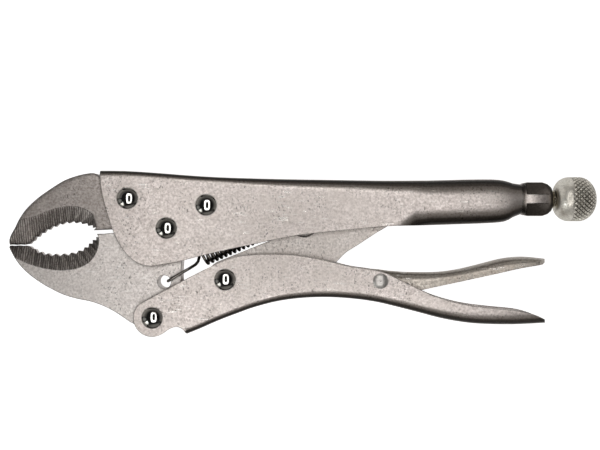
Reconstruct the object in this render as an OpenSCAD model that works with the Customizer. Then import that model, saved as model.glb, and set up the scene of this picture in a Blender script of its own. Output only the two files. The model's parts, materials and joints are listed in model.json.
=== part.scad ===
// Curved-jaw locking pliers, closed and locked, lying on one side.
// The jaw pivot stands on the origin. +X runs back along the handles to the adjusting knob,
// +Y points from the movable jaw's side to the spine, and +Z is up out of the side plates.
// Outlines are drawn for a tool 251 mm long and grow and shrink with overall_length.

/* [Overall] */
// Length from the nose of the jaws to the end of the knob
overall_length = 251; // [200:1:310]
// Thickness of both jaws
jaw_thickness = 10; // [8:0.1:12.5]
// Thickness of the pressed handle sheet
sheet = 2.35; // [1.9:0.05:2.9]
// Free play between a jaw and each side plate
side_play = 0.15; // [0.1:0.05:0.3]

/* [Jaws] */
// Number of teeth along each jaw's gripping edge
teeth = 15; // [10:1:20]
// Depth of the grooves between teeth
tooth_depth = 1.2; // [0.6:0.1:1.6]
// Width of the blunt gripping edge between the two bevels
crest_width = 3.4; // [2:0.1:4.5]
// Radius of the through hole that takes the spring's hook
hook_hole_r = 2.8; // [2:0.1:3.3]

/* [Rivets] */
// Radius of the five large rivets' shanks
rivet_r = 3.3; // [2.7:0.05:4]
// Radius of their domed heads
rivet_head_r = 4.5; // [4:0.1:5.5]
// Height of a head above the side plate
rivet_head_h = 2; // [1.6:0.1:2.6]
// Radius of the release lever's rivet shank
lever_rivet_r = 2; // [1.6:0.05:2.4]
// Radius of the release lever's rivet head
lever_head_r = 3.2; // [2.6:0.1:4]
// Radial clearance of a moving part on its rivet
pivot_play = 0.06; // [0.03:0.01:0.1]

/* [Toggle] */
// Thickness of the toggle link
link_thickness = 7.4; // [6:0.1:8]
// Gap between the link's rear end and the screw's tip
screw_gap = 3; // [2.7:0.1:4]
// Thickness of the release lever's sheet
lever_sheet = 1.8; // [1.4:0.1:2.2]

/* [Adjusting screw] */
// Outer radius of the screw thread
screw_r = 3.97; // [3.3:0.01:4.6]
// Pitch of the screw thread
screw_pitch = 1.411; // [1.1:0.001:1.8]
// Length of the knurled part of the knob
knurl_length = 11.4; // [8:0.1:13]

/* [Spring] */
// Radius of the spring, to the outside of its wire
spring_r = 4; // [3.2:0.1:4.4]
// Radius of the spring wire
wire_r = 0.65; // [0.5:0.05:0.8]
// Number of turns
spring_turns = 22; // [15:1:25]

/* [Hidden] */
$fn = 72;

k = overall_length / 251;
jaw_half = jaw_thickness / 2;
plate_in = jaw_half + side_play;
plate_out = plate_in + sheet;
mid_z = plate_out + rivet_head_h;
slack = 0.01;

// Pivot and rivet places, from the jaw pivot
jaw_pivot = [0, 0];
front_rivet = k * [-16.5, 12.6];
rear_rivet = k * [16.8, 9.8];
handle_pivot = k * [-6, -38];
link_pivot = k * [24.8, -21.8];
lever_pivot = k * [90.6, -22.4];
link_end = k * [101.8, 11.6];
link_end_r = 5 * k;
screw_y = 12.4 * k;
hook_hole = k * [-1.2, -22.9];

// Stations along the screw's axis
collar_start = 147.6 * k;
collar_end = 164 * k;
knob_start = 166 * k;
knob_end = 183.4 * k;
screw_tip = link_end[0] + link_end_r + screw_gap;
shank_end = knob_end - 5 * k;
collar_r = 7.3 * k;
root_r = screw_r - 0.55 * screw_pitch;

// Smooth line through key points, with n steps between each two
function curve(p, n = 5) = let (m = len(p) - 1) concat(
    [for (i = [0 : m - 1], j = [0 : n - 1]) let (
        t = j / n,
        a = p[max(i - 1, 0)],
        b = p[i],
        c = p[i + 1],
        d = p[min(i + 2, m)]
    ) 0.5 * (2 * b + (c - a) * t + (2 * a - 5 * b + 4 * c - d) * t ^ 2
        + (3 * b - a - 3 * c + d) * t ^ 3)],
    [p[m]]);

// Part of a circle, from angle a0 to angle a1
function arc(c, r, a0, a1, n = 12) =
    [for (i = [0 : n]) let (a = a0 + (a1 - a0) * i / n) c + r * [cos(a), sin(a)]];

function unit(v) = v / norm(v);
function reversed(p) = [for (i = [len(p) - 1 : -1 : 0]) p[i]];
function mixed(a, b, t) = a + (b - a) * t;

// Solid through a row of closed rings that all have the same number of points. cap lists the
// faces that close the first ring, and the last ring is closed by the same faces turned over.
module loft(rings, cap) {
    m = len(rings[0]);
    last = (len(rings) - 1) * m;
    sides = [for (s = [0 : len(rings) - 2], i = [0 : m - 1], half = [0, 1]) let (
        a = s * m + i,
        b = s * m + (i + 1) % m
    ) half == 0 ? [a, b, b + m] : [a, b + m, a + m]];
    closing = [for (f = cap) [for (i = f) last + i]];
    polyhedron([for (r = rings) each r], concat(sides, [for (f = cap) reversed(f)], closing));
}

// Faces that close a ring made of an outer line and an inner line of n points each
function sheet_cap(n) = [for (i = [0 : n - 2]) [i, i + 1, 2 * n - 2 - i, 2 * n - 1 - i]];

// ---------------------------------------------------------------- upper handle

// Top of the spine, bottom of the side walls, and how the channel closes into a tube
spine_line = curve(k * [[-30, 24.4], [-18, 24.3], [-6, 23.6], [8, 22.5], [22.6, 21.6], [47.5, 20.9],
    [69, 20.6], [90, 20.3], [110, 20.4], [126, 20.8], [139, 20.9], [144.6, 20.3], [147.6, 19.3],
    [151, 18.8]]);
wall_line = curve(k * [[-5, -16.1], [6.3, -13.9], [22.1, -9.9], [39.8, -6.2], [54.2, -3.2],
    [73.2, -1.1], [94, 0.8], [108, 1.1], [126.6, 1.7], [139, 2.2], [144.6, 2.9], [147.6, 4.5],
    [151, 5.9]]);
half_width_line = [[0, plate_out], [141 * k, plate_out], [146 * k, plate_out * 0.96],
    [151 * k, 6.5 * k]];
// Width and height of the oval bend beside the spine, and of the one under the tube
top_width_line = k * [[20, 2.9], [36, 3.5], [60, 4.4], [80, 5], [104, 6], [114, 7.1], [144, 7.1],
    [151, 6.3]];
top_height_line = k * [[20, 2.9], [36, 3.7], [60, 4.9], [80, 5.4], [104, 6.6], [110, 8.2],
    [116, 9.2], [139, 9.1], [144, 8.4], [147.6, 7.2], [151, 6.3]];
roll_width_line = k * [[88, 25], [97, 15], [103, 10], [110, 7.2], [144, 7.1], [151, 6.3]];
roll_height_line = k * [[88, 25], [97, 15], [103, 11], [110, 9.4], [139, 9.1], [144, 8.4],
    [147.6, 7.2], [151, 6.3]];
roll_angle_line = [[92 * k, 3], [98 * k, 9], [103 * k, 34], [107 * k, 62], [112 * k, 84]];
handle_stations = k * [-30, -24, -18, -12, -6, 0, 7, 14, 22, 30, 38, 47, 56, 65, 74, 82, 88, 92,
    95, 97, 99, 101, 103, 105, 107, 109, 112, 118, 126, 134, 139, 142, 144, 146, 147.6, 149.5, 151];

// One half of the channel's section at a station, at depth t inside the outer face
function handle_half(x, t) = let (
    w = lookup(x, half_width_line),
    top_w = min(lookup(x, top_width_line), w - 0.2),
    top_h = lookup(x, top_height_line),
    roll_w = lookup(x, roll_width_line),
    roll_h = lookup(x, roll_height_line),
    roll = lookup(x, roll_angle_line),
    top_y = lookup(x, spine_line),
    roll_y = lookup(x, wall_line) + roll_h * sin(roll)
) concat(
    [for (i = [0 : 6]) let (a = -roll * (1 - i / 6))
        [w - roll_w + (roll_w - t) * cos(a), roll_y + (roll_h - t) * sin(a)]],
    [for (i = [0 : 6]) let (a = 15 * i)
        [w - top_w + (top_w - t) * cos(a), top_y - top_h + (top_h - t) * sin(a)]]);

function both_halves(half, x) = concat(
    [for (p = half) [x, p[1], p[0]]],
    [for (p = reversed(half)) [x, p[1], -p[0]]]);

function handle_ring(x) = concat(
    both_halves(handle_half(x, 0), x),
    reversed(both_halves(handle_half(x, sheet), x)));

// Front edge of the side walls, swept round the jaw pivot
module upper_front_cut() {
    front = curve(k * [[-28.6, 30], [-28.3, 24.5], [-27.9, 19.6], [-27.3, 15.1], [-26.4, 11.2],
        [-25, 6.3], [-23.3, 0.7], [-21.2, -4.2], [-18.4, -9], [-15, -12.8], [-10.8, -15.3],
        [-5, -16.3]]);
    translate([0, 0, -mid_z])
        linear_extrude(2 * mid_z)
            polygon(concat(front, k * [[-5, -20], [-34, -20], [-34, 30]]));
}

// Solid end of the tube, pressed round the screw: a rib on each side between two slanted flats
module collar() {
    rib_half = 1.95 * k;
    rib_foot = 6.45 * k;
    slant = 0.9;
    reach = 12 * k;
    difference() {
        translate([0, screw_y, 0])
            rotate([0, 90, 0])
                rotate_extrude()
                    polygon(concat(
                        [[0, collar_start], [5.3 * k, collar_start], [5.6 * k, 150.4 * k]],
                        [[collar_r * 0.93, 151.6 * k], [collar_r, 154 * k], [collar_r, 160.4 * k]],
                        [[collar_r * 0.9, 162.6 * k], [collar_r * 0.74, collar_end]],
                        [[0, collar_end]]));
        for (side = [-1, 1], up = [-1, 1])
            translate([152.6 * k, screw_y, 0])
                rotate([90, 0, 90])
                    linear_extrude(20 * k)
                        polygon([[up * rib_half, side * rib_foot], [up * rib_half, side * reach],
                            [up * reach, side * reach],
                            [up * reach, side * (rib_foot - slant * (reach - rib_half))]]);
    }
}

// Tab pressed down out of the spine, which the spring's rear end hooks into
module spring_tab() {
    tab_x = 69.6 * k;
    tab_bottom = 11.5 * k;
    difference() {
        translate([tab_x, tab_bottom, -2.4])
            cube([1.8, lookup(tab_x, spine_line) - sheet / 2 - tab_bottom, 4.8]);
        translate([tab_x - 1, tab_bottom + 2.2, 0])
            rotate([0, 90, 0])
                cylinder(r = 1.2, h = 4);
    }
}

module upper_handle() {
    slot_x = 71.4 * k;
    color("silver")
        translate([0, 0, mid_z])
            difference() {
                union() {
                    difference() {
                        loft([for (x = handle_stations) handle_ring(x)], sheet_cap(28));
                        upper_front_cut();
                        translate([slot_x, 16 * k, -2.4])
                            cube([7.6 * k, 8 * k, 4.8]);
                    }
                    spring_tab();
                    collar();
                }
                for (at = [jaw_pivot, front_rivet, rear_rivet])
                    translate([at[0], at[1], -mid_z])
                        cylinder(r = rivet_r, h = 2 * mid_z);
                translate([collar_start - 2, screw_y, 0])
                    rotate([0, 90, 0])
                        cylinder(r = screw_r + 0.08, h = 30 * k);
            }
}

// ---------------------------------------------------------------- jaws

// Gripping edge of each jaw from the back of the mouth to the nose, and where its bevel ends
upper_edge = curve(k * [[-30.9, -0.6], [-33.2, 0.5], [-36.8, 1.7], [-41, 2.1], [-45.4, 1.5],
    [-49.5, -0.1], [-53.2, -2.2], [-56.4, -4.6], [-59.2, -6.8], [-63, -7.2], [-67.8, -7.2]]);
upper_bevel = curve(k * [[-30.4, -0.1], [-30.9, 2.6], [-32.3, 6.3], [-37.4, 8.9], [-43.4, 9.1],
    [-48.8, 7.9], [-53.6, 6.1], [-57.6, 4.6], [-61, 4], [-65, 2.4], [-69.4, -2]]);
lower_edge = curve(k * [[-29.6, -2.9], [-31.6, -4.4], [-33.9, -6.6], [-37, -9], [-41.5, -10.5],
    [-46.5, -11], [-51.5, -10.8], [-55.5, -9.7], [-59, -7.9], [-62.5, -7.5], [-67.8, -7.5]]);
lower_bevel = curve(k * [[-29.3, -3.5], [-29.3, -6.8], [-30.6, -11.2], [-33.6, -14.8],
    [-38.8, -17.2], [-45.4, -17.9], [-51.6, -17.1], [-56.4, -15.9], [-60.6, -14.4],
    [-64.4, -12.6], [-69.4, -10.6]]);

// Point of a line at a share of its length in steps
function along(line, share) = let (
    s = share * (len(line) - 1),
    i = min(floor(s), len(line) - 2)
) mixed(line[i], line[i + 1], s - i);

// One station of the cutter that bevels a gripping edge from both sides and grooves its teeth
function tooth_ring(edge, bevel, i) = let (
    share = i / (2 * teeth),
    p = along(edge, share),
    q = along(bevel, share),
    d = unit(q - p),
    cut = i % 2 == 1 ? tooth_depth : 0,
    inner = p + cut * lookup(share, [[0.7, 1], [0.8, 0.15]]) * d,
    outer = q + 0.3 * d,
    past = p - 2.5 * d,
    z1 = crest_width / 2,
    z2 = jaw_half + 0.12,
    z3 = jaw_half + 3
) [[past[0], past[1], -z3], [outer[0], outer[1], -z2], [inner[0], inner[1], -z1],
    [inner[0], inner[1], z1], [outer[0], outer[1], z2], [past[0], past[1], z3]];

module tooth_cut(edge, bevel, turned) {
    grooves = [for (i = [0 : 2 * teeth]) tooth_ring(edge, bevel, i)];
    rings = concat(grooves, [[for (p = grooves[2 * teeth]) p - [2, 0, 0]]]);
    cap = [[0, 1, 2], [0, 2, 3, 5], [3, 4, 5]];
    if (turned)
        loft(reversed(rings), cap);
    else
        loft(rings, cap);
}

// The jaw's blank reaches a little past its gripping edge, for the cutter to trim
function blank_edge(edge, bevel) =
    [for (i = [0 : len(edge) - 1]) edge[i] - 0.5 * unit(bevel[i] - edge[i])];

module jaw_plate(outline) {
    translate([0, 0, -jaw_half])
        linear_extrude(jaw_thickness)
            polygon(outline);
}

module fixed_jaw() {
    back = curve(k * [[-67.8, -6.2], [-67.2, -3.9], [-64.9, 0], [-62.1, 5], [-59.2, 8.8],
        [-54.5, 13.1], [-49.1, 16.9], [-43.7, 20.2], [-38.3, 22.2], [-33, 23.3], [-30.3, 23.1],
        [-28.9, 21.9]]);
    tang = concat(k * [[-27.5, 21.4], [-18, 21.3], [-6, 20.6], [6, 19.2]],
        arc(rear_rivet, 7.5 * k, 88, -112),
        arc(jaw_pivot, 9.3 * k, 32, 178),
        k * [[-14, -0.3], [-24, -0.6]]);
    color("darkgray")
        translate([0, 0, mid_z])
            difference() {
                jaw_plate(concat(back, tang, blank_edge(upper_edge, upper_bevel)));
                tooth_cut(upper_edge, upper_bevel, false);
                for (at = [front_rivet, rear_rivet])
                    translate([at[0], at[1], -mid_z])
                        cylinder(r = rivet_r, h = 2 * mid_z);
            }
}

module movable_jaw() {
    back = curve(k * [[-67.8, -8.2], [-66.9, -9.6], [-65.2, -12], [-62.7, -15.6], [-58.9, -19.4],
        [-54.5, -22.7], [-49.1, -25.9], [-43.7, -28.4], [-38.3, -30], [-32.9, -31.1],
        [-27.5, -32.9], [-22, -35.7], [-15.6, -40]]);
    rear = concat(arc(handle_pivot, 7.2 * k, 212, 372),
        curve(k * [[4, -30], [5.4, -26.5], [6, -23], [6, -18.5], [6.2, -14]]),
        arc(jaw_pivot, 8.4 * k, -42, 184),
        k * [[-14, -1.5], [-24.1, -2.1], [-28.8, -2.6]]);
    color("darkgray")
        translate([0, 0, mid_z])
            difference() {
                jaw_plate(concat(back, rear, blank_edge(lower_edge, lower_bevel)));
                tooth_cut(lower_edge, lower_bevel, true);
                for (at = [jaw_pivot, handle_pivot])
                    translate([at[0], at[1], -mid_z])
                        cylinder(r = rivet_r + pivot_play, h = 2 * mid_z);
                translate([hook_hole[0], hook_hole[1], -mid_z])
                    cylinder(r = hook_hole_r, h = 2 * mid_z);
            }
}

// ---------------------------------------------------------------- lower handle

web_line = curve(k * [[8.6, -44.9], [14.3, -42.6], [21.8, -39.3], [29.4, -36.4], [37.2, -33.6],
    [47.5, -31], [57.8, -29.7], [68.2, -29.4], [78.5, -30], [88.8, -31.4], [98.5, -33.7],
    [107.8, -36.1], [117.4, -38.6], [129.7, -40.6], [143.8, -41.2], [153, -41], [161.4, -40.5]]);
lower_top_line = curve(k * [[161.4, -39.2], [155.6, -36.6], [149, -35], [138, -33.9],
    [126.1, -32.3], [114.1, -29], [102.3, -23.7], [96.4, -20.7], [91.8, -18.7], [86, -17.5],
    [78.3, -16.4], [69, -14.1], [60.4, -12.3], [51.5, -11.25], [42.5, -11.1], [35, -11.4],
    [28.5, -12.3], [22.1, -14.7], [12, -19.6], [1.8, -25], [-6, -29.2]]);
lower_stations = concat(k * [-16, 4, 8.6], [for (x = [11 : 3.4 : 160]) x * k], [162.6 * k]);

// The web runs on below the ears at the front, where the side outline trims it away
function web_y(x) = x < 8 * k ? -54 * k : lookup(x, web_line);

// Width and height of the oval bends between the web and the walls
bend_width_line = k * [[40, 3.15], [66, 3.3], [92, 3.7], [118, 4.6], [150, 5.6]];
bend_height_line = k * [[20, 3.15], [40, 3.5], [66, 4], [92, 4.4], [118, 5.2], [150, 6]];

// Channel section at a station: two walls and a web, joined by the bends
function lower_ring(x) = let (
    w = plate_out,
    bend_w = lookup(x, bend_width_line),
    bend_h = lookup(x, bend_height_line),
    y = web_y(x),
    rise = x < 8 * k || x > 160 * k ? 0 : (web_y(x + 1) - web_y(x - 1)) / 2,
    thick = min(sheet * sqrt(1 + rise ^ 2), bend_h - 0.3),
    outer = concat([[w, -6 * k]],
        [for (i = [0 : 6]) [w - bend_w * (1 - cos(15 * i)), y + bend_h * (1 - sin(15 * i))]]),
    inner = concat([[w - sheet, -6 * k]],
        [for (i = [0 : 6]) [w - bend_w + (bend_w - sheet) * cos(15 * i),
            y + bend_h - (bend_h - thick) * sin(15 * i)]])
) concat(both_halves(outer, x), reversed(both_halves(inner, x)));

module lower_side() {
    ear = arc(handle_pivot, 8 * k, 130, 300, 20);
    throat = curve(k * [[-1.2, -44.5], [1, -42.9], [3.3, -41.9], [5, -41.9], [6.8, -42.8],
        [8.6, -44.9]]);
    translate([0, 0, -mid_z])
        linear_extrude(2 * mid_z)
            polygon(concat(ear, throat, web_line, lower_top_line));
}

// Seen from above, the tail ends in a half round
module tail_end(reach, w, r) {
    translate([0, 20 * k, 0])
        rotate([90, 0, 0])
            linear_extrude(100 * k)
                polygon(concat([[-30 * k, -w]], arc([reach - r, r - w], r, -90, 0, 8),
                    arc([reach - r, w - r], r, 0, 90, 8), [[-30 * k, w]]));
}

module lower_handle() {
    color("silver")
        translate([0, 0, mid_z])
            difference() {
                intersection() {
                    loft([for (x = lower_stations) lower_ring(x)], sheet_cap(16));
                    lower_side();
                    tail_end(161.2 * k, plate_out + slack, 5.5);
                }
                for (at = [handle_pivot, link_pivot])
                    translate([at[0], at[1], -mid_z])
                        cylinder(r = rivet_r, h = 2 * mid_z);
                translate([lever_pivot[0], lever_pivot[1], -mid_z])
                    cylinder(r = lever_rivet_r, h = 2 * mid_z);
            }
}

// ---------------------------------------------------------------- toggle link and lever

module toggle_link() {
    relief = k * [58.2, 2.3];
    relief_depth = link_thickness * 0.35;
    outline = concat(
        arc(link_pivot, 8.2 * k, 112, 292, 20),
        curve(k * [[36, -28], [48, -24.6], [60, -20.8], [68, -17.4], [72.2, -14.3], [75.9, -10.6],
            [81, -7.3], [88.7, -2.3], [94.4, 1.2], [98.5, 5]]),
        arc(link_end, link_end_r, -52, 118, 12),
        k * [[93, 13.2], [62, 1.9], [53, -1.6]]);
    color("gray")
        translate([0, 0, mid_z])
            difference() {
                translate([0, 0, -link_thickness / 2])
                    linear_extrude(link_thickness)
                        polygon(outline);
                for (side = [0, 1])
                    mirror([0, 0, side])
                        translate([relief[0], relief[1], link_thickness / 2 - relief_depth])
                            cylinder(r = 6.1 * k, h = mid_z);
                translate([link_pivot[0], link_pivot[1], -mid_z])
                    cylinder(r = rivet_r + pivot_play, h = 2 * mid_z);
            }
}

lever_top_line = curve(k * [[74, -18.6], [80, -17.4], [88.9, -17.5], [94.4, -18.2],
    [102.8, -18.8], [114.8, -18.8], [123.7, -17.7], [132.7, -15.6], [141.7, -13.3],
    [147.8, -12.4], [153.7, -12.3], [161.4, -13.1]]);
lever_bottom_line = curve(k * [[74, -21.4], [80, -25], [86, -27.2], [92, -28], [100, -27.8],
    [109.2, -26.2], [114.5, -25], [126.5, -22.4], [138.4, -19.7], [150.3, -17], [161.4, -15.2]]);
lever_stations = [for (x = [74 : 2.3 : 160]) x * k, 161.4 * k];

// Arched section at a station: full height at the middle, steep at the two sides
function lever_half(x, t) = let (
    inside = plate_in - 0.45,
    grown = plate_out - 0.4,
    w = lookup(x, [[112 * k, inside], [128 * k, mixed(inside, grown, 0.4)],
        [142 * k, grown], [161 * k, grown]]) - t,
    low = lookup(x, lever_bottom_line),
    high = lookup(x, lever_top_line) - t
) [for (i = [0 : 9]) let (a = 10 * i) [w * cos(a), mixed(low, high, sin(a) ^ 0.55)]];

function lever_ring(x) = let (
    outer = [for (i = [0 : 8]) lever_half(x, 0)[i]],
    inner = [for (i = [0 : 8]) lever_half(x, lever_sheet)[i]]
) concat(both_halves(outer, x), reversed(both_halves(inner, x)));

module release_lever() {
    color("gray")
        translate([0, 0, mid_z])
            difference() {
                intersection() {
                    loft([for (x = lever_stations) lever_ring(x)], sheet_cap(18));
                    tail_end(161.2 * k, plate_out, 6);
                }
                translate([lever_pivot[0], lever_pivot[1], -mid_z])
                    cylinder(r = lever_rivet_r + pivot_play, h = 2 * mid_z);
            }
}

// ---------------------------------------------------------------- rivets

// Rivet across both side plates, with a domed head on each that is flat at its middle
module rivet(at, shank_r, head_r, head_h, flat_r) {
    dome = [for (i = [0 : 8]) let (a = 11.25 * i)
        [flat_r + (head_r - flat_r) * cos(a), plate_out + 0.35 + (head_h - 0.35) * sin(a)]];
    half = concat([[shank_r, plate_out], [head_r, plate_out]], dome);
    low_half = [for (p = reversed(half)) [p[0], -p[1]]];
    color("gainsboro")
        translate([at[0], at[1], mid_z])
            rotate_extrude()
                polygon(concat([[0, -plate_out - head_h]], low_half, half,
                    [[0, plate_out + head_h]]));
}

module large_rivet(at) {
    rivet(at, rivet_r, rivet_head_r, rivet_head_h, 1.6);
}

module front_jaw_rivet() {
    large_rivet(front_rivet);
}

module rear_jaw_rivet() {
    large_rivet(rear_rivet);
}

module jaw_pivot_rivet() {
    large_rivet(jaw_pivot);
}

module handle_pivot_rivet() {
    large_rivet(handle_pivot);
}

module link_pivot_rivet() {
    large_rivet(link_pivot);
}

module lever_rivet() {
    rivet(lever_pivot, lever_rivet_r, lever_head_r, rivet_head_h * 0.5, 1.4);
}

// ---------------------------------------------------------------- adjusting screw

// Screw shank with a ring groove at every pitch, and a blunt tip
module adjusting_screw() {
    thread_start = screw_tip + 2.4;
    turns = floor((knob_start - 0.3 - thread_start) / screw_pitch);
    thread_end = thread_start + turns * screw_pitch;
    thread = [for (i = [0 : turns - 1], part = [0 : 2]) let (x = thread_start + i * screw_pitch)
        [part == 0 ? root_r : screw_r, x + [0, 0.42, 0.58][part] * screw_pitch]];
    color("dimgray")
        translate([0, screw_y, mid_z])
            rotate([0, 90, 0])
                rotate_extrude()
                    polygon(concat([[0, screw_tip], [root_r - 0.9, screw_tip]],
                        [[root_r, screw_tip + 1.2]], thread, [[root_r, thread_end]],
                        [[root_r, shank_end], [0, shank_end]]));
}

module adjusting_knob() {
    neck_r = screw_r + 0.9;
    knurl_start = knob_end - knurl_length;
    crown_start = knob_end - 5.9 * k;
    shoulder = [for (t = [0 : 0.125 : 1]) [neck_r + (mid_z - neck_r) * (1 - (1 - t) ^ 2) ^ 0.6,
        mixed(knob_start, knurl_start, t)]];
    crown = [for (t = [0 : 0.125 : 1]) [mid_z * sqrt(1 - 0.88 * t ^ 2.2),
        mixed(crown_start, knob_end, t)]];
    color("lightgray")
        translate([0, screw_y, mid_z])
            rotate([0, 90, 0])
                difference() {
                    rotate_extrude()
                        polygon(concat([[0, knob_start]], shoulder, crown, [[0, knob_end]]));
                    translate([0, 0, knob_start - 1])
                        cylinder(r = root_r + pivot_play, h = shank_end + 0.3 - knob_start + 1);
                }
}

// ---------------------------------------------------------------- spring

// Round wire along a path of 3-D points, with a section that turns with it
module wire(path, r, sides = 8) {
    n = len(path);
    heading = [for (i = [0 : n - 1]) unit(path[min(i + 1, n - 1)] - path[max(i - 1, 0)])];
    start = unit(cross(heading[0], [0, 0, 1]));
    across = [for (
        i = 0, v = start;
        i < n;
        i = i + 1, v = i < n ? unit(v - (v * heading[i]) * heading[i]) : v
    ) v];
    rings = [for (i = [0 : n - 1]) let (u = across[i], w = cross(heading[i], u))
        [for (j = [0 : sides - 1]) let (a = 360 * j / sides)
            path[i] + r * (cos(a) * u + sin(a) * w)]];
    loft(rings, [[for (j = [0 : sides - 1]) j]]);
}

module return_spring() {
    front = concat(k * [14.9, -12.6], [0]);
    back = concat(k * [56.7, 5.6], [0]);
    axis = unit(back - front);
    side = cross([0, 0, 1], axis);
    r = spring_r - wire_r;
    face = jaw_half + wire_r + 0.1;
    steps = 14 * spring_turns;
    coil = [for (i = [0 : steps]) let (a = 360 * i / 14)
        mixed(front, back, i / steps) + r * (cos(a) * side + sin(a) * [0, 0, 1])];
    hook_in = curve([
        concat(hook_hole + k * [1.6, 0.4], [jaw_half - 2.6]),
        concat(hook_hole + k * [1.6, 0.4], [jaw_half - 0.1]),
        concat(hook_hole + k * [1.9, 0.6], [jaw_half + 0.7]),
        concat(hook_hole + k * [3.1, 1.3], [face + 0.1]),
        concat(hook_hole + k * [7.8, 4.1], [face + 0.1]),
        concat(hook_hole + k * [10.6, 5.7], [face - 0.9]),
        concat(k * [11.9, -15.7], [3.3]),
        concat(k * [13, -13], [0.8]),
        concat(k * [13.2, -10.9], [-1.4])], 3);
    hook_out = curve([
        concat(k * [58.6, 7.2], [2.4]),
        concat(k * [62.5, 9.6], [1]),
        concat(k * [67.5, 13.3], [0]),
        concat(k * [69.6, 13.7] + [0.9, 0], [0]),
        concat(k * [69.6, 13.7] + [2.6, 0], [0]),
        concat(k * [69.6, 12.2] + [3.6, 0], [0])], 3);
    color([0.2, 0.18, 0.17])
        translate([0, 0, mid_z])
            wire(concat(hook_in, coil, hook_out), wire_r);
}

upper_handle();
fixed_jaw();
front_jaw_rivet();
rear_jaw_rivet();
jaw_pivot_rivet();
movable_jaw();
lower_handle();
handle_pivot_rivet();
link_pivot_rivet();
lever_rivet();
toggle_link();
release_lever();
return_spring();
adjusting_screw();
adjusting_knob();
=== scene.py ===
import json
import math

import bmesh
import bpy
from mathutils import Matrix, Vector


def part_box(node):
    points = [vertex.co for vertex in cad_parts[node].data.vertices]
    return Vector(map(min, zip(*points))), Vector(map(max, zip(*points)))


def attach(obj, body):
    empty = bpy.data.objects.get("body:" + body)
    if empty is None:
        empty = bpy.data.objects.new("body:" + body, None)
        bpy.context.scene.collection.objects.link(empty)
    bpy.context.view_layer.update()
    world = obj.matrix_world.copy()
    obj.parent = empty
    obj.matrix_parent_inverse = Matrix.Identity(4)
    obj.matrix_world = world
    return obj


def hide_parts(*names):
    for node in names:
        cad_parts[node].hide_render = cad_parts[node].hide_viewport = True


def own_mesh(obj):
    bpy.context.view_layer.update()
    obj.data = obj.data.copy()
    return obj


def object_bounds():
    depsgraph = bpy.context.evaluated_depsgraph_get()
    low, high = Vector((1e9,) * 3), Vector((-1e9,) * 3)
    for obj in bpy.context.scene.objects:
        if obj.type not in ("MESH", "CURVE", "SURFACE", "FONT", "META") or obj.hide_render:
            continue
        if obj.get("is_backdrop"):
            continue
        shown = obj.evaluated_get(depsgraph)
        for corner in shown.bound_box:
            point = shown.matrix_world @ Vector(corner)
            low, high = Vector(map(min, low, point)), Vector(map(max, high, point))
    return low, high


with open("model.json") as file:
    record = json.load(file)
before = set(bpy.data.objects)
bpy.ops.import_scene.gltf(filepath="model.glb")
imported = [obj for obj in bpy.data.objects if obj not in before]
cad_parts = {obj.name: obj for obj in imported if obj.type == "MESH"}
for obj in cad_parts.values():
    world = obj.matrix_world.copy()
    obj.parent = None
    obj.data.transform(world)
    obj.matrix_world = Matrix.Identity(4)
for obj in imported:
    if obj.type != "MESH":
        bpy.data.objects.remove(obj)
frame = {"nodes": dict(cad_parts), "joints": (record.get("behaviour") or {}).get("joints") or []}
boundsLow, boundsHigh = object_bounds()
nodes = frame["nodes"]
joints = {j["name"]: Vector(j["pos_m"]) for j in frame["joints"] if j.get("pos_m")}
mm = 0.001
midZ = (boundsLow.z + boundsHigh.z) / 2
scene = bpy.context.scene
print("frame loaded:", len(nodes), "pieces")


# small helpers

def boxOf(name):
    low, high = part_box(name)
    return Vector(low), Vector(high)


def addMesh(name, bm, material, smooth=True):
    mesh = bpy.data.meshes.new(name)
    bm.normal_update()
    bm.to_mesh(mesh)
    bm.free()
    for face in mesh.polygons:
        face.use_smooth = smooth
    mesh.materials.append(material)
    obj = bpy.data.objects.new(name, mesh)
    scene.collection.objects.link(obj)
    return obj


def mixed(a, b, share):
    return a + (b - a) * share


def sharpen(obj, degrees):
    obj.data.set_sharp_from_angle(angle=math.radians(degrees))


def paint(nodeName, material, crease):
    obj = nodes[nodeName]
    obj.data.materials.clear()
    obj.data.materials.append(material)
    for face in obj.data.polygons:
        face.use_smooth = True
    weld = obj.modifiers.new("weld", "WELD")
    weld.merge_threshold = 0.002 * mm
    split = obj.modifiers.new("creases", "EDGE_SPLIT")
    split.split_angle = math.radians(crease)


# shader groups that several metals share

def newGroup(name, inputs, outputs):
    group = bpy.data.node_groups.new(name, "ShaderNodeTree")
    for label, kind, value in inputs:
        socket = group.interface.new_socket(name=label, in_out="INPUT", socket_type=kind)
        socket.default_value = value
    for label, kind in outputs:
        group.interface.new_socket(name=label, in_out="OUTPUT", socket_type=kind)
    start = group.nodes.new("NodeGroupInput")
    end = group.nodes.new("NodeGroupOutput")
    return group, start, end


def mathNode(tree, operation, a, b=None, clamp=False):
    node = tree.nodes.new("ShaderNodeMath")
    node.operation = operation
    node.use_clamp = clamp
    for index, value in enumerate((a, b)):
        if value is None:
            continue
        if hasattr(value, "is_linked"):
            tree.links.new(value, node.inputs[index])
        else:
            node.inputs[index].default_value = value
    return node.outputs[0]


def rangeNode(tree, value, low, high, outLow=0.0, outHigh=1.0):
    node = tree.nodes.new("ShaderNodeMapRange")
    tree.links.new(value, node.inputs["Value"])
    node.inputs["From Min"].default_value = low
    node.inputs["From Max"].default_value = high
    node.inputs["To Min"].default_value = outLow
    node.inputs["To Max"].default_value = outHigh
    return node.outputs["Result"]


def noiseNode(tree, vector, scale, detail=2.0, roughness=0.5):
    node = tree.nodes.new("ShaderNodeTexNoise")
    tree.links.new(vector, node.inputs["Vector"])
    if hasattr(scale, "is_linked"):
        tree.links.new(scale, node.inputs["Scale"])
    else:
        node.inputs["Scale"].default_value = scale
    node.inputs["Detail"].default_value = detail
    node.inputs["Roughness"].default_value = roughness
    return node.outputs["Fac"]


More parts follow.
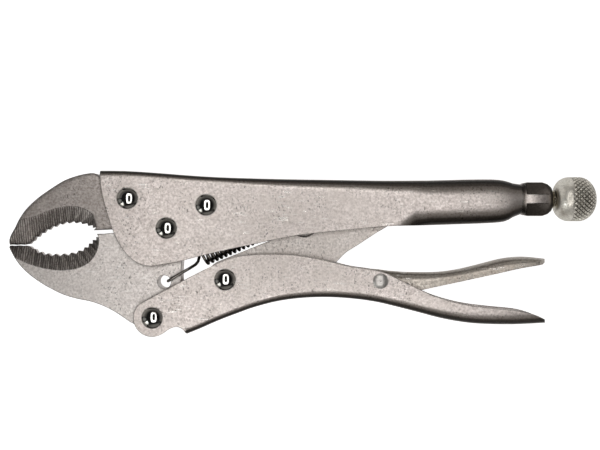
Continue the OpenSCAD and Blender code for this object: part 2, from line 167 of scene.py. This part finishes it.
def stretched(tree, vector, scale, turn=(0, 0, 0)):
    node = tree.nodes.new("ShaderNodeMapping")
    tree.links.new(vector, node.inputs["Vector"])
    node.inputs["Scale"].default_value = scale
    node.inputs["Rotation"].default_value = turn
    return node.outputs["Vector"]


speckleShape = {
    "grainRange": (0.32, 0.68),
    "cloudRange": (0.3, 0.7),
    "pitRange": (0.60, 0.70),
    "pitPatches": (0.40, 0.62),
}


def buildSpeckle():
    group, start, end = newGroup("platingSpeckle", [
        ("Grain", "NodeSocketFloat", 1100.0),
        ("Blotch", "NodeSocketFloat", 110.0),
    ], [("Tone", "NodeSocketFloat"), ("Cloud", "NodeSocketFloat"), ("Pits", "NodeSocketFloat"),
        ("Height", "NodeSocketFloat")])
    place = group.nodes.new("ShaderNodeTexCoord").outputs["Object"]
    grain = noiseNode(group, place, start.outputs["Grain"], 2, 0.6)
    cloud = noiseNode(group, place, start.outputs["Blotch"], 4, 0.6)
    turned = stretched(group, place, (1.15, 0.9, 1), (0.4, 0.3, 0.9))
    patches = noiseNode(group, turned, start.outputs["Blotch"], 2, 0.5)
    specks = noiseNode(group, turned, start.outputs["Grain"], 1, 0.5)
    pits = rangeNode(group, specks, *speckleShape["pitRange"])
    gate = rangeNode(group, patches, *speckleShape["pitPatches"])
    pitMask = mathNode(group, "MULTIPLY", pits, gate, True)
    group.links.new(rangeNode(group, grain, *speckleShape["grainRange"]), end.inputs["Tone"])
    group.links.new(rangeNode(group, cloud, *speckleShape["cloudRange"]), end.inputs["Cloud"])
    group.links.new(pitMask, end.inputs["Pits"])
    group.links.new(mathNode(group, "SUBTRACT", grain, pitMask), end.inputs["Height"])
    return group


scratchShape = {
    # turn of each set of scratches, and how far its noise is stretched
    "sets": ((0.5, (130, 1500, 300)), (-0.7, (150, 1300, 300)), (1.35, (120, 1400, 300))),
    "lineRange": (0.66, 0.74),
    "patchRange": (0.48, 0.6),
}


def buildScratches():
    group, start, end = newGroup("handlingScratches", [
        ("Density", "NodeSocketFloat", 0.5),
    ], [("Mask", "NodeSocketFloat")])
    place = group.nodes.new("ShaderNodeTexCoord").outputs["Object"]
    total = None
    for turn, scale in scratchShape["sets"]:
        lines = noiseNode(group, stretched(group, place, scale, (0, 0, turn)), 1.0, 1, 0.4)
        where = noiseNode(group, place, 90 + 30 * turn, 1, 0.5)
        thin = rangeNode(group, lines, *scratchShape["lineRange"])
        near = rangeNode(group, where, *scratchShape["patchRange"])
        line = mathNode(group, "MULTIPLY", thin, near, True)
        total = line if total is None else mathNode(group, "MAXIMUM", total, line)
    mask = mathNode(group, "MULTIPLY", total, start.outputs["Density"], True)
    group.links.new(mask, end.inputs["Mask"])
    return group


edgeShape = {
    "samples": 6,
    "edgeRange": (0.999, 0.86),      # how far the rounded and the true normal part at an edge
    "cornerRange": (0.85, 0.25),     # how closed in a corner has to be to take painted shade
}


def buildEdges():
    group, start, end = newGroup("edgeAndCorner", [
        ("Radius", "NodeSocketFloat", 0.0004),
        ("Reach", "NodeSocketFloat", 0.002),
    ], [("Edge", "NodeSocketFloat"), ("Corner", "NodeSocketFloat"), ("Normal", "NodeSocketVector")])
    bevel = group.nodes.new("ShaderNodeBevel")
    bevel.samples = edgeShape["samples"]
    group.links.new(start.outputs["Radius"], bevel.inputs["Radius"])
    flat = group.nodes.new("ShaderNodeNewGeometry").outputs["Normal"]
    dot = group.nodes.new("ShaderNodeVectorMath")
    dot.operation = "DOT_PRODUCT"
    group.links.new(bevel.outputs["Normal"], dot.inputs[0])
    group.links.new(flat, dot.inputs[1])
    edge = rangeNode(group, dot.outputs["Value"], *edgeShape["edgeRange"])
    group.links.new(edge, end.inputs["Edge"])
    hollow = group.nodes.new("ShaderNodeAmbientOcclusion")
    hollow.samples = edgeShape["samples"]
    group.links.new(start.outputs["Reach"], hollow.inputs["Distance"])
    corner = rangeNode(group, hollow.outputs["AO"], *edgeShape["cornerRange"])
    group.links.new(corner, end.inputs["Corner"])
    group.links.new(bevel.outputs["Normal"], end.inputs["Normal"])
    return group


ribShape = {
    "leanRange": (0.985, 0.965),     # tilt out of the jaw's flat where the lines start
    "wallRange": (0.25, 0.4),        # and where the jaw's outer walls end them
    "lineRange": (0.0, 0.9),
    "grooveShadeDark": 0.9,
    "rimRadius": 0.5 * mm,
    "rimRange": (0.9993, 0.997),
    "rimShadowDark": 0.85,
}


def buildRibs():
    # painted shade of the file grooves on the faces beside the teeth, which lean out of the jaw's flat,
    # and a painted shadow line along that band's edge
    group, start, end = newGroup("fileGrooveShade", [
        ("Pitch", "NodeSocketFloat", 0.001),
    ], [("Mask", "NodeSocketFloat")])
    flat = group.nodes.new("ShaderNodeNewGeometry").outputs["True Normal"]
    split = group.nodes.new("ShaderNodeSeparateXYZ")
    group.links.new(flat, split.inputs[0])
    lean = mathNode(group, "ABSOLUTE", split.outputs["Z"])
    leaning = rangeNode(group, lean, *ribShape["leanRange"])
    notWall = rangeNode(group, lean, *ribShape["wallRange"])
    spot = group.nodes.new("ShaderNodeSeparateXYZ")
    group.links.new(group.nodes.new("ShaderNodeTexCoord").outputs["Object"], spot.inputs[0])
    turns = mathNode(group, "DIVIDE", spot.outputs["X"], start.outputs["Pitch"])
    wave = mathNode(group, "SINE", mathNode(group, "MULTIPLY", turns, 2 * math.pi))
    line = rangeNode(group, wave, *ribShape["lineRange"], 0.0, ribShape["grooveShadeDark"])
    beside = mathNode(group, "MULTIPLY", leaning, notWall, True)
    soft = group.nodes.new("ShaderNodeBevel")
    soft.inputs["Radius"].default_value = ribShape["rimRadius"]
    crease = group.nodes.new("ShaderNodeVectorMath")
    crease.operation = "DOT_PRODUCT"
    group.links.new(soft.outputs["Normal"], crease.inputs[0])
    group.links.new(flat, crease.inputs[1])
    rim = rangeNode(group, crease.outputs["Value"], *ribShape["rimRange"], 0.0, ribShape["rimShadowDark"])
    rim = mathNode(group, "MULTIPLY", rim, notWall, True)
    lines = mathNode(group, "MULTIPLY", beside, line, True)
    group.links.new(mathNode(group, "MAXIMUM", lines, rim), end.inputs["Mask"])
    return group


speckleGroup = buildSpeckle()
ribGroup = buildRibs()
scratchGroup = buildScratches()
edgeGroup = buildEdges()
print("shader groups built")


# metals

def placeGroup(tree, group, values):
    node = tree.nodes.new("ShaderNodeGroup")
    node.node_tree = group
    for label, value in values.items():
        node.inputs[label].default_value = value
    return node


def mixColour(tree, amount, a, b, blend="MIX"):
    node = tree.nodes.new("ShaderNodeMix")
    node.data_type = "RGBA"
    node.blend_type = blend
    for socket, value in ((node.inputs[0], amount), (node.inputs[6], a), (node.inputs[7], b)):
        if hasattr(value, "is_linked"):
            tree.links.new(value, socket)
        else:
            socket.default_value = value
    return node.outputs[2]


finish = {
    "pitColour": (0.08, 0.07, 0.06, 1),
    "scratchColour": (0.95, 0.94, 0.92, 1),
    "scratchShare": 0.7,
    "scratchPolish": 0.15,
    "wornColour": (0.92, 0.9, 0.87, 1),
    "cornerShadeColour": (0.05, 0.04, 0.03, 1),
    "grooveShadeColour": (0.07, 0.06, 0.055, 1),
    "bumpHeight": 0.1 * mm,
    "shadeWarmth": (0.93, 0.84),          # green and blue kept in the darkest painted bend shade
}


def steel(name, look):
    material = bpy.data.materials.new(name)
    material.use_nodes = True
    tree = material.node_tree
    shader = tree.nodes["Principled BSDF"]
    speckle = placeGroup(tree, speckleGroup, {"Grain": look["grain"], "Blotch": look["blotch"]})
    scratch = placeGroup(tree, scratchGroup, {"Density": look["scratches"]})
    edges = placeGroup(tree, edgeGroup, {"Radius": look["edge"], "Reach": look["reach"]})
    tone = mixColour(tree, speckle.outputs["Tone"], look["dark"], look["light"])
    cloudy = mixColour(tree, mathNode(tree, "MULTIPLY", speckle.outputs["Cloud"], look["cloud"]),
                       tone, look["tint"])
    pitted = mixColour(tree, mathNode(tree, "MULTIPLY", speckle.outputs["Pits"], look["pits"]),
                       cloudy, finish["pitColour"])
    scratched = mathNode(tree, "MULTIPLY", scratch.outputs["Mask"], finish["scratchShare"])
    shiny = mixColour(tree, scratched, pitted, finish["scratchColour"])
    worn = mixColour(tree, mathNode(tree, "MULTIPLY", edges.outputs["Edge"], look["wear"]),
                     shiny, finish["wornColour"])
    # painted shade darkens closed corners, crevices and the gaps between parts
    cornerShaded = mixColour(tree, mathNode(tree, "MULTIPLY", edges.outputs["Corner"], look["cornerShade"]),
                      worn, finish["cornerShadeColour"])
    # painted shade: the colour darkens as the rounded normal turns from straight up, so the bends beside
    # the flats show dark bands
    split = tree.nodes.new("ShaderNodeSeparateXYZ")
    tree.links.new(edges.outputs["Normal"], split.inputs[0])
    turned = mathNode(tree, "SUBTRACT", 1.0, mathNode(tree, "ABSOLUTE", split.outputs["Z"]))
    ramp = tree.nodes.new("ShaderNodeValToRGB")
    green, blue = finish["shadeWarmth"]
    for spot, value in look["turn"]:
        stop = ramp.color_ramp.elements.new(spot)
        stop.color = (value, value * mixed(green, 1, value), value * mixed(blue, 1, value), 1)
    ramp.color_ramp.elements.remove(ramp.color_ramp.elements[0])
    tree.links.new(turned, ramp.inputs["Fac"])
    # multiply in the painted bend shade
    dimmed = mixColour(tree, look["bendShade"], cornerShaded, ramp.outputs["Color"], "MULTIPLY")
    # painted shade of the file grooves and a painted shadow line along the teeth band's edge
    if look["ribs"]:
        ribs = placeGroup(tree, ribGroup, {"Pitch": look["ribs"]})
        dimmed = mixColour(tree, ribs.outputs["Mask"], dimmed, finish["grooveShadeColour"])
    tree.links.new(dimmed, shader.inputs["Base Color"])
    shader.inputs["Metallic"].default_value = 1.0
    rough = rangeNode(tree, speckle.outputs["Tone"], 0, 1, look["rough"][1], look["rough"][0])
    worked = mathNode(tree, "MULTIPLY", scratch.outputs["Mask"], finish["scratchPolish"])
    tree.links.new(mathNode(tree, "SUBTRACT", rough, worked, True), shader.inputs["Roughness"])
    bump = tree.nodes.new("ShaderNodeBump")
    bump.inputs["Strength"].default_value = look["bump"]
    bump.inputs["Distance"].default_value = finish["bumpHeight"]
    lifted = mathNode(tree, "SUBTRACT", speckle.outputs["Height"], scratch.outputs["Mask"])
    tree.links.new(lifted, bump.inputs["Height"])
    tree.links.new(edges.outputs["Normal"], bump.inputs["Normal"])
    tree.links.new(bump.outputs["Normal"], shader.inputs["Normal"])
    return material


# how much light is kept at each share of the turn from the flat to the edge
bendShadeSteps = ((0.02, 1.0), (0.09, 0.52), (0.2, 0.1), (0.38, 0.02), (0.6, 0.08), (0.92, 0.75))
# painted shade for the rivet domes: light at the top, a dark ring further out
domeShadeSteps = ((0.01, 0.95), (0.045, 0.85), (0.08, 0.3), (0.3, 0.3), (0.9, 0.5))

plateLook = {
    "turn": bendShadeSteps,
    "bendShade": 1.0,
    "ribs": 0.0,
    "dark": (0.56, 0.50, 0.475, 1),
    "light": (0.92, 0.85, 0.82, 1),
    "tint": (0.66, 0.60, 0.56, 1),
    "cloud": 0.6,
    "grain": 1150.0,
    "blotch": 95.0,
    "pits": 0.6,
    "scratches": 0.8,
    "edge": 0.0006,
    "reach": 0.0024,
    "wear": 0.35,
    "cornerShade": 0.95,
    "rough": (0.33, 0.46),
    "bump": 0.5,
}
jawLook = dict(plateLook, dark=(0.31, 0.275, 0.255, 1), light=(0.62, 0.57, 0.545, 1),
               tint=(0.37, 0.33, 0.305, 1), cornerShade=0.9, edge=0.0022, ribs=0.00095, scratches=0.5,
               rough=(0.36, 0.48), wear=0.05, bendShade=0.5)
movingJawLook = dict(jawLook, dark=(0.60, 0.55, 0.525, 1), light=(0.97, 0.92, 0.89, 1),
                     tint=(0.72, 0.67, 0.64, 1), edge=0.0004, bendShade=0.8)
linkLook = dict(plateLook, dark=(0.50, 0.455, 0.43, 1), light=(0.84, 0.79, 0.755, 1), scratches=0.5)
leverLook = dict(plateLook, dark=(0.40, 0.36, 0.32, 1), light=(0.68, 0.63, 0.57, 1),
                 tint=(0.40, 0.34, 0.29, 1), rough=(0.28, 0.42), scratches=0.9,
                 bendShade=0.15)
rivetLook = dict(plateLook, dark=(0.80, 0.80, 0.79, 1), light=(0.90, 0.90, 0.89, 1),
                 tint=(0.78, 0.78, 0.78, 1), cloud=0.3, pits=0.1, scratches=0.25, wear=0.0,
                 rough=(0.05, 0.09), bump=0.03, cornerShade=0.9, reach=0.0006, edge=0.0001, bendShade=1.0,
                 turn=domeShadeSteps)
studLook = dict(rivetLook, rough=(0.34, 0.42), bendShade=0.3, bump=0.3, dark=(0.6, 0.57, 0.54, 1),
                light=(0.8, 0.77, 0.74, 1))
knobLook = dict(plateLook, dark=(0.60, 0.57, 0.51, 1), light=(0.88, 0.84, 0.76, 1),
                tint=(0.70, 0.67, 0.60, 1), cloud=0.4, pits=0.3, scratches=0.4, wear=0.3,
                rough=(0.34, 0.44), bump=0.15, cornerShade=1.0, reach=0.0006, edge=0.0001,
                bendShade=0.0)
screwLook = dict(plateLook, dark=(0.42, 0.38, 0.30, 1), light=(0.74, 0.70, 0.60, 1),
                 tint=(0.50, 0.45, 0.35, 1), rough=(0.2, 0.35), cornerShade=0.8, reach=0.0006,
                 edge=0.0001, pits=0.3, bendShade=0.3)
springLook = dict(plateLook, dark=(0.14, 0.13, 0.12, 1), light=(0.34, 0.32, 0.3, 1),
                  tint=(0.2, 0.18, 0.16, 1), rough=(0.16, 0.26), wear=0.0, cornerShade=0.7,
                  edge=0.0001, scratches=0.2, bump=0.15, pits=0.3, bendShade=0.6)
plateSteel = steel("platedSheet", plateLook)
fixedJawSteel = steel("fixedJawSteel", jawLook)
movingJawSteel = steel("movingJawSteel", movingJawLook)
linkSteel = steel("linkSteel", linkLook)
leverSteel = steel("leverSteel", leverLook)
rivetSteel = steel("polishedRivet", rivetLook)
studSteel = steel("satinRivet", studLook)
knobSteel = steel("knobSteel", knobLook)
screwSteel = steel("screwSteel", screwLook)
springSteel = steel("springSteel", springLook)

# metal of each pressed or forged piece, and the angle in degrees above which its edges stay crisp
platedPieces = {
    "upper_handle": (plateSteel, 34),
    "lower_handle": (plateSteel, 34),
    "fixed_jaw": (fixedJawSteel, 9),
    "movable_jaw": (movingJawSteel, 9),
    "toggle_link": (linkSteel, 34),
    "release_lever": (leverSteel, 34),
}
for pieceName, (metal, crease) in platedPieces.items():
    paint(pieceName, metal, crease)
print("metals placed")


# turned pieces

def lathe(profile, steps, place):
    # profile holds (distance along the axis, radius), place turns them and an angle into a point
    bm = bmesh.new()
    rings = []
    for along, radius in profile:
        if radius < 1e-7:
            rings.append([bm.verts.new(place(along, 0.0, 0.0))])
        else:
            rings.append([bm.verts.new(place(along, radius, 2 * math.pi * i / steps))
                          for i in range(steps)])
    for first, second in zip(rings, rings[1:]):
        for i in range(steps):
            j = (i + 1) % steps
            corners = [first[i % len(first)], first[j % len(first)],
                       second[j % len(second)], second[i % len(second)]]
            unique = []
            for corner in corners:
                if corner not in unique:
                    unique.append(corner)
            if len(unique) > 2:
                bm.faces.new(unique)
    bmesh.ops.recalc_face_normals(bm, faces=bm.faces[:])
    return bm


rivetPieces = {
    "front_jaw_rivet": ("upper_body", rivetSteel),
    "rear_jaw_rivet": ("upper_body", rivetSteel),
    "jaw_pivot_rivet": ("upper_body", rivetSteel),
    "handle_pivot_rivet": ("lower_body", rivetSteel),
    "link_pivot_rivet": ("lower_body", rivetSteel),
    "lever_rivet": ("lower_body", studSteel),
}
rivetShape = {
    "skirt": 0.18,      # straight edge under the dome, as a share of the head's height
    "steps": 72,
    "domeSteps": 14,
    "shank": 0.62,      # radius of the shank as a share of the head's
    "foot": 0.985,      # radius where the head meets the plate
    "dimple": 0.55,     # depth left under the lever rivet's dimple, as a share of the head's height
    "crease": 50,
    "plate": boxOf("upper_handle")[1].z - midZ,
}


def rivetProfile(headRadius, headHeight, shankRadius):
    base = rivetShape["plate"]
    skirt = headHeight * rivetShape["skirt"]
    rise = headHeight - skirt
    ball = (headRadius ** 2 + rise ** 2) / (2 * rise)
    widest = math.asin(headRadius / ball)
    half = [(base - 0.1 * mm, shankRadius), (base + 0.01 * mm, headRadius * rivetShape["foot"]),
            (base + skirt / 2, headRadius), (base + skirt, headRadius)]
    for i in range(1, rivetShape["domeSteps"]):
        tilt = widest * (1 - i / rivetShape["domeSteps"])
        half.append((base + headHeight - ball * (1 - math.cos(tilt)), ball * math.sin(tilt)))
    half.append((base + headHeight, 0.0))
    return [(-a, r) for a, r in reversed(half)] + half


def makeRivet(name, body, material):
    low, high = boxOf(name)
    centre = (low + high) / 2
    headRadius = (high.x - low.x) / 2
    headHeight = high.z - midZ - rivetShape["plate"]
    profile = rivetProfile(headRadius, headHeight, headRadius * rivetShape["shank"])

    def place(along, radius, angle):
        return (centre.x + radius * math.cos(angle), centre.y + radius * math.sin(angle),
                midZ + along)

    if name == "lever_rivet":
        dimple = rivetShape["plate"] + headHeight * rivetShape["dimple"]
        profile = [(-dimple, 0.0)] + profile[1:-1] + [(dimple, 0.0)]
    piece = addMesh(name + "_turned", lathe(profile, rivetShape["steps"], place), material)
    sharpen(piece, rivetShape["crease"])
    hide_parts(name)
    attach(piece, body)
    return piece


for rivetName, (rivetBody, rivetMetal) in rivetPieces.items():
    makeRivet(rivetName, rivetBody, rivetMetal)
print("rivets turned")


# adjusting knob

knobLow, knobHigh = boxOf("adjusting_knob")
knobShape = {
    "front": knobLow.x,
    "back": knobHigh.x,
    "radius": (knobHigh.y - knobLow.y) / 2,
    "rim": 0.345,        # where the knurling starts, as a share of the length
    "neck": 0.52,        # radius at the front end, as a share of the widest
    "dome": 0.6,         # where the back starts to close in, as a share of the length
    "domeFall": 0.93,
    "domePower": 1.9,
    "shoulderPower": 0.6,
    "shoulderSteps": 16,
    "ridge": 0.48,       # share of a diamond left uncut
    "crease": 38,
    "diamonds": 28,      # round the knob
    "depth": 0.0008,
    "perDiamond": 12,
}


def knobRadius(share):
    # radius of the plain turned shape at a share of the knob's length
    top = knobShape["radius"]
    neck = knobShape["neck"]
    if share < knobShape["rim"]:
        left = 1 - share / knobShape["rim"]
        return top * (neck + (1 - neck) * (1 - left ** 2) ** knobShape["shoulderPower"])
    fall = max(0.0, (share - knobShape["dome"]) / (1 - knobShape["dome"]))
    return top * math.sqrt(1 - knobShape["domeFall"] * fall ** knobShape["domePower"])


def makeKnob():
    length = knobShape["back"] - knobShape["front"]
    centreY = (knobLow.y + knobHigh.y) / 2
    around = knobShape["diamonds"] * knobShape["perDiamond"]
    rim = knobShape["rim"]
    rows = (1 - rim) * length / (2 * math.pi * knobShape["radius"] / knobShape["diamonds"])
    band = round(rows * knobShape["perDiamond"])
    shoulder = knobShape["shoulderSteps"]
    stations = [rim * (1 - math.cos(math.pi / 2 * i / shoulder)) for i in range(shoulder)]
    stations += [rim + (1 - rim) * i / band for i in range(band + 1)]
    bm = bmesh.new()
    rings = []
    for share in stations:
        row = (share - rim) / (1 - rim) * rows
        cut = knobShape["depth"] * min(1.0, max(0.0, row * 2))
        ring = []
        for i in range(around):
            turn = i / knobShape["perDiamond"]
            first = abs((turn + row) % 1.0 - 0.5) * 2
            second = abs((turn - row) % 1.0 - 0.5) * 2
            groove = max(0.0, max(first, second) - knobShape["ridge"]) / (1 - knobShape["ridge"])
            radius = knobRadius(share) - cut * groove
            angle = 2 * math.pi * i / around
            ring.append(bm.verts.new((knobShape["front"] + share * length,
                                      centreY + radius * math.cos(angle),
                                      midZ + radius * math.sin(angle))))
        rings.append(ring)
    for one, two in zip(rings, rings[1:]):
        for i in range(around):
            j = (i + 1) % around
            bm.faces.new((one[i], one[j], two[j], two[i]))
    bm.faces.new(rings[0])
    bm.faces.new(rings[-1])
    bmesh.ops.recalc_face_normals(bm, faces=bm.faces[:])
    knob = addMesh("knurled_knob", bm, knobSteel)
    sharpen(knob, knobShape["crease"])
    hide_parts("adjusting_knob")
    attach(knob, "knob_body")


makeKnob()
print("knob knurled")


# adjusting screw

screwLow, screwHigh = boxOf("adjusting_screw")
screwShape = {
    "pitch": 1.411 * mm,
    "crest": (screwHigh.y - screwLow.y) / 2,
    "root": 0.8,
    "around": 40,
    "perTurn": 8,
    "tip": 2.4 * mm,
    "tipRoot": 0.7,      # radius at the very tip, as a share of the root
    "flat": 0.12,        # flat at the root and the crest, as a share of the rise
    "crease": 55,
}


def threadHeight(phase):
    # 0 at the root and 1 at the crest, with a short flat on both
    rise = 1 - abs(phase % 1.0 - 0.5) * 2
    flat = screwShape["flat"]
    return min(1.0, max(0.0, (rise - flat) / (1 - 2 * flat)))


def makeScrew():
    centreY = (screwLow.y + screwHigh.y) / 2
    crest = screwShape["crest"]
    root = crest * screwShape["root"]
    around = screwShape["around"]
    step = screwShape["pitch"] / screwShape["perTurn"]
    count = int((screwHigh.x - screwLow.x) / step)
    bm = bmesh.new()
    rings = []
    for s in range(count + 1):
        x = screwLow.x + (screwHigh.x - screwLow.x) * s / count
        fade = min(1.0, (x - screwLow.x) / screwShape["tip"])
        base = root * mixed(screwShape["tipRoot"], 1, fade)
        ring = []
        for i in range(around):
            angle = 2 * math.pi * i / around
            phase = (x - screwLow.x) / screwShape["pitch"] + i / around
            radius = base + (crest - root) * threadHeight(phase) * max(0.0, fade * 2 - 1)
            ring.append(bm.verts.new((x, centreY + radius * math.cos(angle),
                                      midZ + radius * math.sin(angle))))
        rings.append(ring)
    for one, two in zip(rings, rings[1:]):
        for i in range(around):
            j = (i + 1) % around
            bm.faces.new((one[i], one[j], two[j], two[i]))
    bm.faces.new(rings[0])
    bm.faces.new(rings[-1])
    bmesh.ops.recalc_face_normals(bm, faces=bm.faces[:])
    screw = addMesh("threaded_shank", bm, screwSteel)
    sharpen(screw, screwShape["crease"])
    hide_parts("adjusting_screw")
    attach(screw, "screw_body")


makeScrew()
print("screw threaded")


# return spring

pivot = joints["jaw_pivot"]
springShape = {
    "wire": 0.65 * mm,
    "coil": 3.35 * mm,
    "turns": 22,
    "perTurn": 20,
    "front": (14.9, -12.6),      # ends of the coil's axis, in millimetres from the jaw pivot
    "back": (56.7, 5.6),
    "frontHook": [(0.4, -22.5, 2.5), (0.4, -22.5, 4.9), (0.7, -22.3, 5.65), (1.6, -21.8, 5.8),
                  (6.6, -18.8, 5.8), (9.4, -17.2, 4.9), (11.9, -15.6, 3.4), (12.9, -14.4, 2.6),
                  (13.2, -12.9, 1.2), (13.3, -11.6, -0.4), (13.4, -10.5, -1.2)],
    "backHook": [(56.4, 9.2, 1.2), (58.6, 7.6, 2.2), (62.5, 9.6, 1), (67.5, 13.3, 0),
                 (69.6, 13.75, 0), (71.6, 13.7, 0), (72.9, 12.6, 0)],
    "anchor": (70.4, 13.7),
    "keep": 0.91,
}


def fromPivot(x, y, height=0.0):
    return Vector((pivot.x + x * mm, pivot.y + y * mm, midZ + height * mm))


def springPath():
    front = fromPivot(*springShape["front"])
    back = fromPivot(*springShape["back"])
    axis = (back - front).normalized()
    up = Vector((0, 0, 1))
    side = up.cross(axis)
    steps = springShape["turns"] * springShape["perTurn"]
    points = [fromPivot(*at) for at in springShape["frontHook"]]
    for i in range(steps + 1):
        angle = 2 * math.pi * i / springShape["perTurn"]
        centre = front.lerp(back, i / steps)
        points.append(centre + springShape["coil"] * (side * math.cos(angle) + up * math.sin(angle)))
    points += [fromPivot(*at) for at in springShape["backHook"]]
    return points


def makeSpring():
    curve = bpy.data.curves.new("springWire", "CURVE")
    curve.dimensions = "3D"
    curve.bevel_depth = springShape["wire"]
    curve.bevel_resolution = 3
    curve.use_fill_caps = True
    points = springPath()
    line = curve.splines.new("POLY")
    line.points.add(len(points) - 1)
    for slot, point in zip(line.points, points):
        slot.co = (*point, 1.0)
    made = bpy.data.objects.new("springDraft", curve)
    scene.collection.objects.link(made)
    bpy.context.view_layer.update()
    ready = made.evaluated_get(bpy.context.evaluated_depsgraph_get())
    mesh = bpy.data.meshes.new_from_object(ready)
    bpy.data.objects.remove(made)
    mesh.materials.clear()
    mesh.materials.append(springSteel)
    for face in mesh.polygons:
        face.use_smooth = True
    spring = bpy.data.objects.new("wound_spring", mesh)
    scene.collection.objects.link(spring)
    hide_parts("return_spring")
    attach(spring, "upper_body")
    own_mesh(spring)


makeSpring()
print("spring wound")


# floor, lights and camera

studio = {
    "floor": (0.35, 0.35, 0.348, 1),
    "floorHalf": 6,
    "floorDrop": 0.3 * mm,
    "floorGlow": 1.0,            # what the lens sees
    "floorBounce": 0.5,          # what the metal sees
    "sky": (1, 0.98, 0.955, 1),
    "horizon": 0.7,              # soft light low down all round, dark overhead
    "zenith": 0.01,
    "skyRange": (0.3, 0.72),     # how high the light reaches
    "ringOuter": (0.16, 0.32),   # half width and half height of the light round the lens
    "ringInner": (0.078, 0.18),
    "ringSteps": 48,
    "ringLift": 0.012,
    "ringGlow": 2.48,
    # where each card stands, its width and height, its colour and its strength
    "cards": {
        "sideCard": ((-0.75, -0.52, 0.55), (0.34, 0.26), (0.97, 1, 0.99, 1), 4.5),
        "frontCard": ((0.1, -0.8, 0.42), (0.9, 0.3), (1, 0.99, 0.97, 1), 0.5),
        "backCard": ((0.15, 0.85, 0.12), (0.9, 0.3), (1, 0.98, 0.95, 1), 0.8),
        "leftCard": ((-0.85, -0.2, 0.4), (0.25, 0.3), (0.96, 1, 0.99, 1), 0.7),
    },
}
view = {
    "distance": 0.43,
    "lens": 60.0,
    "aside": (-0.0013, 0.0121),    # from the middle of the tool to the point under the lens
}
toolCentre = (boundsLow + boundsHigh) / 2
lensPlace = Vector((toolCentre.x + view["aside"][0], toolCentre.y + view["aside"][1],
                    midZ + view["distance"]))


def glowing(name, colour, strength, soft=False):
    material = bpy.data.materials.new(name)
    material.use_nodes = True
    tree = material.node_tree
    tree.nodes.clear()
    glow = tree.nodes.new("ShaderNodeEmission")
    glow.inputs["Color"].default_value = colour
    glow.inputs["Strength"].default_value = strength
    if soft:
        place = tree.nodes.new("ShaderNodeTexCoord").outputs["Object"]
        reach = tree.nodes.new("ShaderNodeVectorMath")
        reach.operation = "LENGTH"
        tree.links.new(place, reach.inputs[0])
        fade = rangeNode(tree, reach.outputs["Value"], 0.35, 1.0, strength, 0.0)
        tree.links.new(fade, glow.inputs["Strength"])
    end = tree.nodes.new("ShaderNodeOutputMaterial")
    tree.links.new(glow.outputs[0], end.inputs["Surface"])
    return material


def makeFloor():
    bm = bmesh.new()
    bmesh.ops.create_grid(bm, x_segments=1, y_segments=1, size=studio["floorHalf"])
    material = bpy.data.materials.new("paleFloor")
    material.use_nodes = True
    shader = material.node_tree.nodes["Principled BSDF"]
    shader.inputs["Base Color"].default_value = studio["floor"]
    shader.inputs["Roughness"].default_value = 0.9
    shader.inputs["Emission Color"].default_value = (1, 1, 0.995, 1)
    seen = material.node_tree.nodes.new("ShaderNodeLightPath").outputs["Is Camera Ray"]
    glow = rangeNode(material.node_tree, seen, 0, 1, studio["floorBounce"], studio["floorGlow"])
    material.node_tree.links.new(glow, shader.inputs["Emission Strength"])
    floor = addMesh("floor", bm, material, False)
    floor.location.z = boundsLow.z - studio["floorDrop"]
    floor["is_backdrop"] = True


def ringPoint(size, angle):
    # rounded rectangle of the given half width and half height
    c = math.cos(angle)
    r = math.sin(angle)
    return (size[0] * math.copysign(abs(c) ** 0.5, c), size[1] * math.copysign(abs(r) ** 0.5, r), 0)


def makeRing():
    bm = bmesh.new()
    turns = [2 * math.pi * i / studio["ringSteps"] for i in range(studio["ringSteps"])]
    outer = [bm.verts.new(ringPoint(studio["ringOuter"], t)) for t in turns]
    inner = [bm.verts.new(ringPoint(studio["ringInner"], t)) for t in turns]
    for i in range(len(turns)):
        j = (i + 1) % len(turns)
        bm.faces.new((outer[i], inner[i], inner[j], outer[j]))
    ring = addMesh("ringLight", bm, glowing("ringGlow", (1, 0.985, 0.965, 1), studio["ringGlow"]), False)
    ring.location = lensPlace + Vector((0, 0, studio["ringLift"]))
    ring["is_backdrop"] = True


def makeCard(name, offset, size, colour, strength):
    # a glowing board that faces the tool from the given offset
    bm = bmesh.new()
    bmesh.ops.create_grid(bm, x_segments=1, y_segments=1, size=1)
    card = addMesh(name, bm, glowing(name + "Glow", colour, strength, True), False)
    card.location = toolCentre + Vector(offset)
    card.scale = (size[0], size[1], 1)
    card.rotation_euler = (-Vector(offset)).to_track_quat("-Z", "Y").to_euler()
    card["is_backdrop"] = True


def makeCamera():
    data = bpy.data.cameras.new("camera")
    data.lens = view["lens"]
    data.sensor_width = 36.0
    data.clip_start = 0.01
    camera = bpy.data.objects.new("camera", data)
    camera.location = lensPlace
    scene.collection.objects.link(camera)
    scene.camera = camera


makeFloor()
makeRing()
for cardName, (spot, size, colour, strength) in studio["cards"].items():
    makeCard(cardName, spot, size, colour, strength)
makeCamera()
world = bpy.data.worlds.new("studio")
world.use_nodes = True
sky = world.node_tree.nodes["Background"]
sky.inputs["Color"].default_value = studio["sky"]
rise = world.node_tree.nodes.new("ShaderNodeSeparateXYZ")
direction = world.node_tree.nodes.new("ShaderNodeTexCoord").outputs["Generated"]
world.node_tree.links.new(direction, rise.inputs[0])
low, high = studio["skyRange"]
skyGlow = rangeNode(world.node_tree, rise.outputs["Z"], low, high, studio["horizon"], studio["zenith"])
world.node_tree.links.new(skyGlow, sky.inputs["Strength"])
scene.world = world
scene.view_settings.view_transform = "Standard"
print("studio lit")

low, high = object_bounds()
